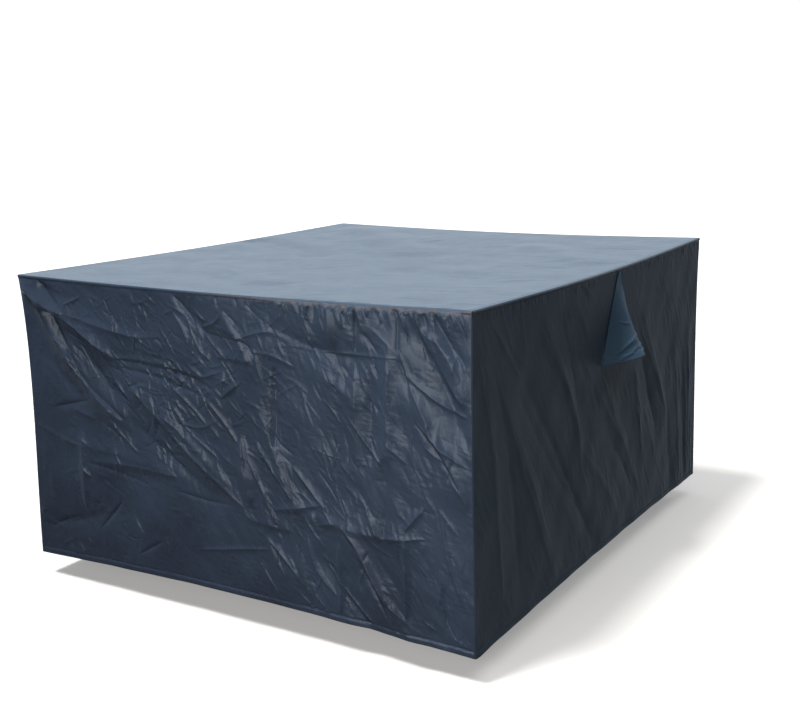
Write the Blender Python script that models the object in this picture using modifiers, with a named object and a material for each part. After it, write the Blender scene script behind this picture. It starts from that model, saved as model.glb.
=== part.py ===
"""Patio furniture cover: a fitted, hollow box of coated cloth with a vent hood on one wall.

Metres, +Z up. The origin is on the underside of the top, at its middle, where the covered
furniture carries it. The front faces -Y, and the wall with the vent hood faces +X.

A place on a wall is given by s, the distance from the wall's left end as seen from outside, and
h, the height above the hem's corners. A place on the top is given by x from the left edge and y
from the front edge.
"""

import math
from collections import namedtuple

import bmesh
import bpy
import numpy as np
from mathutils import Vector

# The size to which the cover is sewn.
WIDTH = 1.50  # along X
DEPTH = 1.65  # along Y
HEIGHT = 0.85  # from the hem to the edge of the top, at the corners

CLOTH = 0.002
SEAM_GAP = 0.0003  # between two pieces that are sewn together
END_TRIM = CLOTH + SEAM_GAP  # a side wall stops behind the front or back wall by this much

# The grid that carries the folds: about 40 mm between points.
WALL_ROWS = 20
FRONT_COLUMNS = 38
SIDE_COLUMNS = 40
HIDDEN_COLUMNS = 24
TOP_COLUMNS = 20
TOP_ROWS = 22
HOOD_COLUMNS = 12
HOOD_ROWS = 10

# A flat strip runs along every seam. Beyond it the folds rise over these distances. They run on
# through the hem, which is free.
SEAM_STRIP = 0.010
END_CALM = 0.060
TOP_CALM = 0.055

# A corner of the box. The upright edge is drawn in by up to pull, most at about 2/3 of the height,
# and the very top of it stands out again by poke.
Corner = namedtuple("Corner", "x_side y_side pull poke")
FRONT_LEFT = Corner(-1, -1, 0.0055, 0.0045)
FRONT_RIGHT = Corner(1, -1, 0.006, 0.001)
BACK_RIGHT = Corner(1, 1, 0.0025, 0.0015)
BACK_LEFT = Corner(-1, 1, 0.007, 0.003)
PULL_SKEW = 1.5
POKE_POWER = 10

# The top's edges dip between the corners, and its middle sags a little more.
FRONT_DIP = 0.008
RIGHT_DIP = 0.012
BACK_DIP = 0.010
LEFT_DIP = 0.006
MIDDLE_SAG = 0.006
MIDDLE_DROP = (FRONT_DIP + BACK_DIP) / 2 + (RIGHT_DIP + LEFT_DIP) / 2 + MIDDLE_SAG
CORNER_Z = CLOTH + MIDDLE_DROP
HEM_Z = CORNER_Z - HEIGHT

# A wall: its two ends, the way it faces, how far its top edge dips and its hem lifts midway.
Wall = namedtuple("Wall", "start end outward length dip hem_lift trim")
FRONT = Wall(FRONT_LEFT, FRONT_RIGHT, Vector((0, -1, 0)), WIDTH, FRONT_DIP, 0.016, 0.0)
RIGHT = Wall(FRONT_RIGHT, BACK_RIGHT, Vector((1, 0, 0)), DEPTH, RIGHT_DIP, 0.012, END_TRIM)
BACK = Wall(BACK_RIGHT, BACK_LEFT, Vector((0, 1, 0)), WIDTH, BACK_DIP, 0.009, 0.0)
LEFT = Wall(BACK_LEFT, FRONT_LEFT, Vector((-1, 0, 0)), DEPTH, LEFT_DIP, 0.010, END_TRIM)

# The vent hood: a triangle of cloth on the right wall. Its neck lies flat, and its mouth stands off.
HOOD_S = 0.900
HOOD_MOUTH_H = 0.570
HOOD_TIP_H = 0.838
HOOD_MOUTH_HALF = 0.125
HOOD_TIP_HALF = 0.012
HOOD_STAND_OFF = 0.078
HOOD_NECK = 0.62  # share of the hood's height, from the mouth, over which it stands off
HOOD_MOUTH_ARCH = 0.014
HOOD_CALM_HALF = 0.160  # the wall lies flat behind the hood, and folds start beyond this
HOOD_CALM_FADE = 0.5

# A fold: a soft ridge (rise above 0) or trough (below 0) along a line that bows to its left.
Fold = namedtuple("Fold", "s0 h0 s1 h1 bow half_width rise")
FRONT_FOLDS = [
    Fold(0.02, 0.82, 0.18, 0.75, -0.015, 0.060, 0.016),
    Fold(0.05, 0.77, 0.21, 0.72, -0.005, 0.050, -0.012),
    Fold(0.10, 0.77, 0.35, 0.64, 0.000, 0.060, 0.012),
    Fold(0.17, 0.75, 0.50, 0.70, -0.010, 0.060, 0.006),
    Fold(0.07, 0.76, 0.37, 0.45, -0.030, 0.055, 0.015),
    Fold(0.21, 0.68, 0.36, 0.52, -0.010, 0.055, -0.011),
    Fold(0.08, 0.62, 0.22, 0.50, -0.010, 0.060, -0.008),
    Fold(0.36, 0.63, 0.76, 0.57, 0.020, 0.055, -0.010),
    Fold(0.43, 0.55, 0.79, 0.28, 0.010, 0.060, 0.011),
    Fold(0.40, 0.46, 0.70, 0.27, 0.000, 0.060, -0.009),
    Fold(0.14, 0.36, 0.56, 0.32, 0.010, 0.055, 0.008),
    Fold(0.05, 0.10, 0.30, 0.17, -0.010, 0.060, -0.007),
    Fold(0.64, 0.80, 0.70, 0.73, 0.000, 0.055, -0.010),
    Fold(0.76, 0.79, 0.84, 0.66, 0.010, 0.055, 0.010),
    Fold(0.86, 0.55, 0.97, 0.30, 0.000, 0.055, 0.010),
    Fold(0.93, 0.76, 1.18, 0.71, -0.010, 0.055, -0.008),
    Fold(1.07, 0.66, 1.16, 0.61, 0.000, 0.060, 0.008),
    Fold(1.00, 0.28, 1.30, 0.26, -0.010, 0.055, 0.007),
    Fold(1.15, 0.22, 1.32, 0.00, 0.000, 0.055, 0.009),
    Fold(1.06, 0.16, 1.20, 0.00, 0.000, 0.055, -0.008),
    Fold(1.27, 0.75, 1.24, 0.30, 0.010, 0.065, 0.010),
    Fold(1.35, 0.78, 1.46, 0.55, 0.020, 0.055, -0.013),
    Fold(1.40, 0.78, 1.47, 0.65, 0.010, 0.045, 0.011),
    Fold(1.33, 0.62, 1.47, 0.40, 0.010, 0.055, 0.010),
]
RIGHT_FOLDS = [
    Fold(0.06, 0.72, 0.13, 0.10, 0.020, 0.060, 0.009),
    Fold(0.13, 0.66, 0.24, 0.10, 0.020, 0.065, -0.009),
    Fold(0.16, 0.62, 0.44, 0.08, 0.010, 0.065, 0.011),
    Fold(0.28, 0.62, 0.72, 0.04, 0.010, 0.070, -0.013),
    Fold(0.38, 0.78, 0.62, 0.40, 0.015, 0.070, 0.012),
    Fold(0.50, 0.75, 0.60, 0.50, 0.010, 0.055, -0.008),
    Fold(0.58, 0.80, 0.95, 0.30, 0.010, 0.070, 0.012),
    Fold(0.62, 0.36, 0.92, 0.06, 0.015, 0.065, 0.009),
    Fold(0.84, 0.34, 1.08, 0.06, 0.010, 0.065, -0.010),
    Fold(1.04, 0.52, 1.12, 0.20, 0.000, 0.060, 0.009),
    Fold(1.06, 0.60, 1.25, 0.26, 0.010, 0.060, -0.014),
    Fold(1.13, 0.64, 1.36, 0.24, 0.010, 0.065, 0.011),
    Fold(1.33, 0.40, 1.40, 0.02, 0.010, 0.060, -0.011),
    Fold(1.42, 0.50, 1.48, 0.02, 0.010, 0.050, 0.010),
    Fold(1.50, 0.46, 1.54, 0.02, 0.000, 0.045, -0.010),
    Fold(1.56, 0.55, 1.58, 0.05, 0.000, 0.045, 0.008),
]
BACK_FOLDS = [
    Fold(0.05, 0.80, 0.40, 0.40, 0.020, 0.070, 0.012),
    Fold(0.30, 0.70, 0.62, 0.10, 0.010, 0.075, -0.010),
    Fold(0.72, 0.60, 0.78, 0.00, 0.010, 0.080, 0.011),
    Fold(0.94, 0.50, 0.98, 0.00, 0.000, 0.075, -0.009),
    Fold(1.45, 0.80, 1.15, 0.30, -0.020, 0.075, 0.012),
]
LEFT_FOLDS = [
    Fold(0.06, 0.80, 0.42, 0.36, 0.020, 0.075, 0.012),
    Fold(0.36, 0.60, 0.52, 0.04, 0.010, 0.080, -0.010),
    Fold(0.78, 0.66, 0.80, 0.02, 0.010, 0.080, 0.010),
    Fold(1.02, 0.46, 1.06, 0.00, 0.000, 0.075, -0.009),
    Fold(1.58, 0.80, 1.28, 0.30, -0.020, 0.075, 0.013),
]
TOP_FOLDS = [
    Fold(0.20, 1.50, 0.72, 1.06, 0.010, 0.130, 0.006),
    Fold(0.08, 1.02, 0.44, 0.84, 0.010, 0.120, -0.005),
    Fold(0.34, 0.50, 0.70, 0.26, 0.000, 0.120, 0.005),
    Fold(0.92, 0.64, 1.30, 0.50, 0.020, 0.130, -0.005),
    Fold(1.05, 1.30, 1.36, 1.00, 0.000, 0.120, 0.005),
]
FOLD_STEPS = 8  # straight pieces along a bowed fold
TOP_EDGE_CALM = 0.12

# The coated cloth: dark blue grey, and a little bluer where the hood catches the light.
WALL_COLOUR = (0.040, 0.048, 0.060, 1.0)
TOP_COLOUR = (0.060, 0.072, 0.090, 1.0)
HOOD_COLOUR = (0.045, 0.062, 0.085, 1.0)
CLOTH_ROUGHNESS = 0.45


def smooth_step(value):
    """0 below 0, 1 above 1, and a smooth way between them."""
    value = min(max(value, 0.0), 1.0)
    return value * value * (3.0 - 2.0 * value)


def fold_line(fold):
    """The points of a fold's line, from its start to its end."""
    start = np.array((fold.s0, fold.h0))
    end = np.array((fold.s1, fold.h1))
    along = end - start
    left = np.array((-along[1], along[0])) / np.linalg.norm(along)
    share = np.linspace(0.0, 1.0, FOLD_STEPS + 1)[:, None]
    return start + along * share + left * fold.bow * np.sin(math.pi * share)


def distance_to_line(points, place):
    """The distance from a place to a line of straight pieces."""
    starts = points[:-1]
    steps = points[1:] - starts
    share = ((place - starts) * steps).sum(axis=1) / (steps * steps).sum(axis=1)
    nearest = starts + steps * np.clip(share, 0.0, 1.0)[:, None]
    return float(np.linalg.norm(nearest - place, axis=1).min())


def fold_height(folds, s, h):
    """How far the cloth stands out at a place, from all the folds of its panel."""
    place = np.array((s, h))
    height = 0.0
    for fold in folds:
        reach = distance_to_line(fold_line(fold), place) / fold.half_width
        if reach < 1.0:
            height += fold.rise * (1.0 + math.cos(math.pi * reach)) / 2.0
    return height


def corner_point(corner, up):
    """The plan position of an upright edge, up being 0 at the hem and 1 at the top."""
    inset = corner.pull * math.sin(math.pi * up**PULL_SKEW) - corner.poke * up**POKE_POWER
    return Vector((corner.x_side * (WIDTH / 2 - inset), corner.y_side * (DEPTH / 2 - inset), 0))


def edge_z(dip, share):
    """The height of the top's outer face along one of its edges."""
    return CORNER_Z - dip * math.sin(math.pi * share)


def hood_calm(s, h):
    """1 where the right wall lies flat behind the vent hood, and 0 away from it."""
    middle_h = (HOOD_MOUTH_H + HOOD_TIP_H) / 2
    reach = max(abs(s - HOOD_S), abs(h - middle_h)) / HOOD_CALM_HALF
    return 1.0 - smooth_step((reach - 1.0) / HOOD_CALM_FADE)


def wall_point(wall, folds, s, h):
    """The wall's outer face at s along it and h above the hem's corners."""
    along = s / wall.length
    up = h / HEIGHT
    place = corner_point(wall.start, up).lerp(corner_point(wall.end, up), along)
    hem = HEM_Z + wall.hem_lift * math.sin(math.pi * along)
    place.z = hem + (edge_z(wall.dip, along) - CLOTH - SEAM_GAP - hem) * up
    from_end = min(s, wall.length - s)
    calm = smooth_step((from_end - SEAM_STRIP) / END_CALM)
    calm *= smooth_step((HEIGHT - h - SEAM_STRIP) / TOP_CALM)
    if wall is RIGHT:
        calm *= 1.0 - hood_calm(s, h)
    return place + wall.outward * (calm * fold_height(folds, s, h))


def top_point(x, y):
    """The top's outer face, spanned between its four edges."""
    along = x / WIDTH
    back = y / DEPTH
    front_line = corner_point(FRONT_LEFT, 1.0).lerp(corner_point(FRONT_RIGHT, 1.0), along)
    back_line = corner_point(BACK_LEFT, 1.0).lerp(corner_point(BACK_RIGHT, 1.0), along)
    place = front_line.lerp(back_line, back)
    front_to_back = edge_z(FRONT_DIP, along) * (1.0 - back) + edge_z(BACK_DIP, along) * back
    left_to_right = edge_z(LEFT_DIP, back) * (1.0 - along) + edge_z(RIGHT_DIP, back) * along
    sag = MIDDLE_SAG * (math.sin(math.pi * along) * math.sin(math.pi * back)) ** 2
    rim = min(x, WIDTH - x, y, DEPTH - y)
    ridges = fold_height(TOP_FOLDS, x, y) * smooth_step((rim - SEAM_STRIP) / TOP_EDGE_CALM)
    place.z = front_to_back + left_to_right - CORNER_Z - sag + ridges
    return place


def hood_point(across, up):
    """The hood's inner face: across runs from -1 to 1, and up from 0 at the mouth to 1."""
    half = HOOD_MOUTH_HALF + (HOOD_TIP_HALF - HOOD_MOUTH_HALF) * up
    crown = 1.0 - across * across
    h = HOOD_MOUTH_H + (HOOD_TIP_H - HOOD_MOUTH_H) * up + HOOD_MOUTH_ARCH * crown * (1.0 - up)
    seat = wall_point(RIGHT, [], HOOD_S + half * across, h)
    opening = max(0.0, 1.0 - up / HOOD_NECK)
    return seat + RIGHT.outward * (SEAM_GAP + HOOD_STAND_OFF * crown * opening)


def cloth_material(name, colour):
    """A plain coated cloth."""
    material = bpy.data.materials.new(name)
    material.use_nodes = True
    shader = material.node_tree.nodes["Principled BSDF"]
    shader.inputs["Base Color"].default_value = colour
    shader.inputs["Roughness"].default_value = CLOTH_ROUGHNESS
    shader.inputs["Metallic"].default_value = 0.0
    return material


def cloth_sheet(name, collection, material, columns, rows, place, thicken):
    """A sheet of cloth: a grid whose points go to place(across, up), both 0 to 1, then thickened.

    thicken is -1 where the grid is the outer face, and 1 where it is the inner face.
    """
    grid = bmesh.new()
    bmesh.ops.create_grid(grid, x_segments=columns, y_segments=rows, size=0.5)
    for vert in grid.verts:
        vert.co = place(vert.co.x + 0.5, vert.co.y + 0.5)
    mesh = bpy.data.meshes.new(name)
    grid.to_mesh(mesh)
    grid.free()
    mesh.materials.append(material)
    mesh.shade_smooth()
    sheet = bpy.data.objects.new(name, mesh)
    collection.objects.link(sheet)
    solidify = sheet.modifiers.new("Cloth thickness", "SOLIDIFY")
    solidify.thickness = CLOTH
    solidify.offset = thicken
    solidify.use_rim = True
    return sheet


def strip_spaced(share, count, length, start_strip=True):
    """A grid line's distance along a side, whose end cells are narrow strips along the seams."""
    line = round(share * count)
    if line == count:
        return length
    if not start_strip:
        return (length - SEAM_STRIP) * line / (count - 1)
    if line == 0:
        return 0.0
    return SEAM_STRIP + (length - 2 * SEAM_STRIP) * (line - 1) / (count - 2)


def wall_sheet(name, collection, material, wall, folds, columns):
    """One wall of the cover, from the hem to the seam under the top."""

    def place(across, up):
        s = wall.trim + strip_spaced(across, columns, wall.length - 2 * wall.trim)
        return wall_point(wall, folds, s, strip_spaced(up, WALL_ROWS, HEIGHT, start_strip=False))

    return cloth_sheet(name, collection, material, columns, WALL_ROWS, place, -1)


def top_sheet(name, collection, material):
    """The top, whose underside rests on the furniture."""

    def place(across, up):
        x = strip_spaced(across, TOP_COLUMNS, WIDTH)
        return top_point(x, strip_spaced(up, TOP_ROWS, DEPTH))

    return cloth_sheet(name, collection, material, TOP_COLUMNS, TOP_ROWS, place, -1)


def hood_sheet(name, collection, material):
    """The vent hood, sewn to the right wall along its two slanting sides."""

    def place(across, up):
        return hood_point(2.0 * across - 1.0, up)

    return cloth_sheet(name, collection, material, HOOD_COLUMNS, HOOD_ROWS, place, 1)


def clear_scene():
    for thing in list(bpy.data.objects):
        bpy.data.objects.remove(thing, do_unlink=True)


def build():
    clear_scene()
    cover = bpy.data.collections.new("Patio furniture cover")
    bpy.context.scene.collection.children.link(cover)
    wall_cloth = cloth_material("Wall cloth", WALL_COLOUR)
    top_cloth = cloth_material("Top cloth", TOP_COLOUR)
    hood_cloth = cloth_material("Hood cloth", HOOD_COLOUR)
    carrier = bpy.data.objects.new("Cover", None)
    cover.objects.link(carrier)
    pieces = [
        top_sheet("top_panel", cover, top_cloth),
        wall_sheet("front_panel", cover, wall_cloth, FRONT, FRONT_FOLDS, FRONT_COLUMNS),
        wall_sheet("right_panel", cover, wall_cloth, RIGHT, RIGHT_FOLDS, SIDE_COLUMNS),
        wall_sheet("back_panel", cover, wall_cloth, BACK, BACK_FOLDS, HIDDEN_COLUMNS),
        wall_sheet("left_panel", cover, wall_cloth, LEFT, LEFT_FOLDS, HIDDEN_COLUMNS),
        hood_sheet("vent_hood", cover, hood_cloth),
    ]
    for piece in pieces:
        piece.parent = carrier


build()
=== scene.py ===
"""Looks of the patio furniture cover: thin coated cloth, creased as it came out of its bag.

Metres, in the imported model's frame: +Z up, the front facing -Y, the wall with the vent hood
facing +X, and the origin on the underside of the top. A place on a wall is given by s, the
distance from the wall's left end as seen from outside, and h, the height above the hem's corners.
A place on the top is given by x from the left edge and y from the front edge.
"""

import math
from collections import namedtuple

import bpy
import numpy as np
from mathutils import Matrix, Vector
from mathutils.geometry import delaunay_2d_cdt


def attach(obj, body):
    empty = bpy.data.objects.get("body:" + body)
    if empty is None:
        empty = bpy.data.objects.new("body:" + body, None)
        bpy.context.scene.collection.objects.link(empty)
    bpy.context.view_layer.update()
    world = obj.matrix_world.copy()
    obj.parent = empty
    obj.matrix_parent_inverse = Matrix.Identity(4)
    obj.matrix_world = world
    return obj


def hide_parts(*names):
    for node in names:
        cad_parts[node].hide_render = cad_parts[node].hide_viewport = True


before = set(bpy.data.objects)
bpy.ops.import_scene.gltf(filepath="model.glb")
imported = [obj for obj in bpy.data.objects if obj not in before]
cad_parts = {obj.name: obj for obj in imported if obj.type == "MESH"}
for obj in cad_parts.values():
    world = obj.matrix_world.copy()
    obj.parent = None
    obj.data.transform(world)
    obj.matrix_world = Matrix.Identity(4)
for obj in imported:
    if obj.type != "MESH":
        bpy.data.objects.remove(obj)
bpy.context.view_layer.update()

CM = 0.01
MM = 0.001

# ---------------- the sewn size, as in the solids
WIDTH = 1.50
DEPTH = 1.65
HEIGHT = 0.85
SOLID_CLOTH = 0.002
SEAM_GAP = 0.0003

Corner = namedtuple("Corner", "x_side y_side pull poke")
FRONT_LEFT = Corner(-1, -1, 0.0055, 0.0045)
FRONT_RIGHT = Corner(1, -1, 0.006, 0.001)
BACK_RIGHT = Corner(1, 1, 0.0025, 0.0015)
BACK_LEFT = Corner(-1, 1, 0.007, 0.003)
PULL_SKEW = 1.5
POKE_POWER = 10

FRONT_DIP = 0.008
RIGHT_DIP = 0.012
BACK_DIP = 0.010
LEFT_DIP = 0.006
MIDDLE_SAG = 0.006
CORNER_Z = SOLID_CLOTH + (FRONT_DIP + BACK_DIP) / 2 + (RIGHT_DIP + LEFT_DIP) / 2 + MIDDLE_SAG
HEM_Z = CORNER_Z - HEIGHT

Wall = namedtuple("Wall", "start end outward length dip hem_lift welt_rise welt_groove")
FRONT = Wall(FRONT_LEFT, FRONT_RIGHT, Vector((0, -1, 0)), WIDTH, FRONT_DIP, 0.016, 0.0012, 0.0003)
RIGHT = Wall(FRONT_RIGHT, BACK_RIGHT, Vector((1, 0, 0)), DEPTH, RIGHT_DIP, 0.012, 0.0024, 0.0010)
BACK = Wall(BACK_RIGHT, BACK_LEFT, Vector((0, 1, 0)), WIDTH, BACK_DIP, 0.009, 0.0016, 0.0006)
LEFT = Wall(BACK_LEFT, FRONT_LEFT, Vector((-1, 0, 0)), DEPTH, LEFT_DIP, 0.010, 0.0016, 0.0006)

HOOD_S = 0.900
HOOD_MOUTH_H = 0.570
HOOD_TIP_H = 0.838
HOOD_MOUTH_HALF = 0.125
HOOD_TIP_HALF = 0.012
HOOD_STAND_OFF = 0.078
HOOD_NECK = 0.85
HOOD_SWEEP = 1.35
HOOD_MOUTH_ARCH = 0.014
HOOD_CALM_HALF = 0.160
HOOD_CALM_FADE = 0.5

# ---------------- the cloth and its seams
CLOTH = 0.0008
CORNER_RADIUS = 0.005
RADIUS_SHARE = 1.0 - math.sqrt(0.5)  # how far in from its corner a rounded edge is, at 45 degrees
EDGE_IN = CORNER_RADIUS * RADIUS_SHARE
FRONT_ROLL = 0.011  # how much more the radius is where the front is gathered
FRONT_ROLL_FADE = 0.035
SEAM_FLANGE = 0.0025  # what shows of the turned-in cloth of a seam
SEAM_CLEAR = 0.00002  # how far the turned-in edges of two pieces stay apart
WELT = 0.0085  # the rolled seam under the top's edge
HEM_BAND = 0.016
HEM_RISE = 0.0010  # how far the hem's band stands out
HEM_GROOVE = 0.0012
HEM_TURN = 0.0022  # how far behind the wall its turned-in cloth hangs
HEM_INSIDE = 0.018

# How far apart the points of the plain grid are.
WALL_STEP = 0.0095
TOP_STEP = 0.0130
HIDDEN_STEP = 0.0100

# ---------------- the main folds, as in the solids
# A fold: the two ends of its line, how far this bows to its left, its half width and its height.
# The tables are in centimetres, and the heights in millimetres.
Fold = namedtuple("Fold", "s0 h0 s1 h1 bow half_width rise")


def folds_of(rows):
    """The folds of a table, in metres."""
    return [Fold(*(value / 100 for value in row[:-1]), row[-1] / 1000) for row in rows]


FRONT_FOLDS = folds_of((
    (2, 82, 18, 75, -1.5, 6, 16),
    (5, 77, 21, 72, -0.5, 5, -12),
    (10, 77, 35, 64, 0, 6, 12),
    (17, 75, 50, 70, -1, 6, 6),
    (7, 76, 37, 45, -3, 5.5, 15),
    (21, 68, 36, 52, -1, 5.5, -11),
    (8, 62, 22, 50, -1, 6, -8),
    (36, 63, 76, 57, 2, 5.5, -5),
    (43, 55, 79, 28, 1, 6, 11),
    (40, 46, 70, 27, 0, 6, -9),
    (14, 36, 56, 32, 1, 5.5, 5),
    (5, 10, 30, 17, -1, 6, -7),
    (64, 80, 70, 73, 0, 5.5, -10),
    (76, 79, 84, 66, 1, 5.5, 10),
    (86, 55, 97, 30, 0, 5.5, 10),
    (93, 76, 118, 71, -1, 5.5, -8),
    (107, 66, 116, 61, 0, 6, 8),
    (100, 28, 130, 26, -1, 5.5, 7),
    (115, 22, 132, 0, 0, 5.5, 9),
    (106, 16, 120, 0, 0, 5.5, -8),
    (127, 75, 124, 30, 1, 6.5, 10),
    (135, 78, 146, 55, 2, 5.5, -13),
    (140, 78, 147, 65, 1, 4.5, 11),
    (133, 62, 147, 40, 1, 5.5, 10),
))
RIGHT_FOLDS = folds_of((
    (6, 72, 13, 10, 2, 6, 9),
    (13, 66, 24, 10, 2, 6.5, -9),
    (16, 62, 44, 8, 1, 6.5, 11),
    (28, 62, 72, 4, 1, 7, -13),
    (38, 78, 62, 40, 1.5, 7, 12),
    (50, 75, 60, 50, 1, 5.5, -8),
    (58, 80, 95, 30, 1, 7, 12),
    (62, 36, 92, 6, 1.5, 6.5, 9),
    (84, 34, 108, 6, 1, 6.5, -10),
    (104, 52, 112, 20, 0, 6, 9),
    (106, 60, 125, 26, 1, 6, -14),
    (113, 64, 136, 24, 1, 6.5, 11),
    (133, 40, 140, 2, 1, 6, -11),
    (142, 50, 148, 2, 1, 5, 10),
    (150, 46, 154, 2, 0, 4.5, -10),
    (156, 55, 158, 5, 0, 4.5, 8),
))
BACK_FOLDS = folds_of((
    (5, 80, 40, 40, 2, 7, 12),
    (30, 70, 62, 10, 1, 7.5, -10),
    (72, 60, 78, 0, 1, 8, 11),
    (94, 50, 98, 0, 0, 7.5, -9),
    (145, 80, 115, 30, -2, 7.5, 12),
))
LEFT_FOLDS = folds_of((
    (6, 80, 42, 36, 2, 7.5, 12),
    (36, 60, 52, 4, 1, 8, -10),
    (78, 66, 80, 2, 1, 8, 10),
    (102, 46, 106, 0, 0, 7.5, -9),
    (158, 80, 128, 30, -2, 7.5, 13),
))
TOP_FOLDS = folds_of((
    (20, 150, 72, 106, 1, 13, 6),
    (8, 102, 44, 84, 1, 12, -5),
    (34, 50, 70, 26, 0, 12, 5),
    (92, 64, 130, 50, 2, 13, -5),
    (105, 130, 136, 100, 0, 12, 5),
))
RIGHT_SOFTNESS = 0.38  # the share of the right wall's main folds that its thin cloth shows
BROAD_SHARE = 0.45  # how much of a main fold's height is broad; the rest is its sharp crest
CREST_SHARE = 0.34  # the crest's half width, as a share of the fold's

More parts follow.
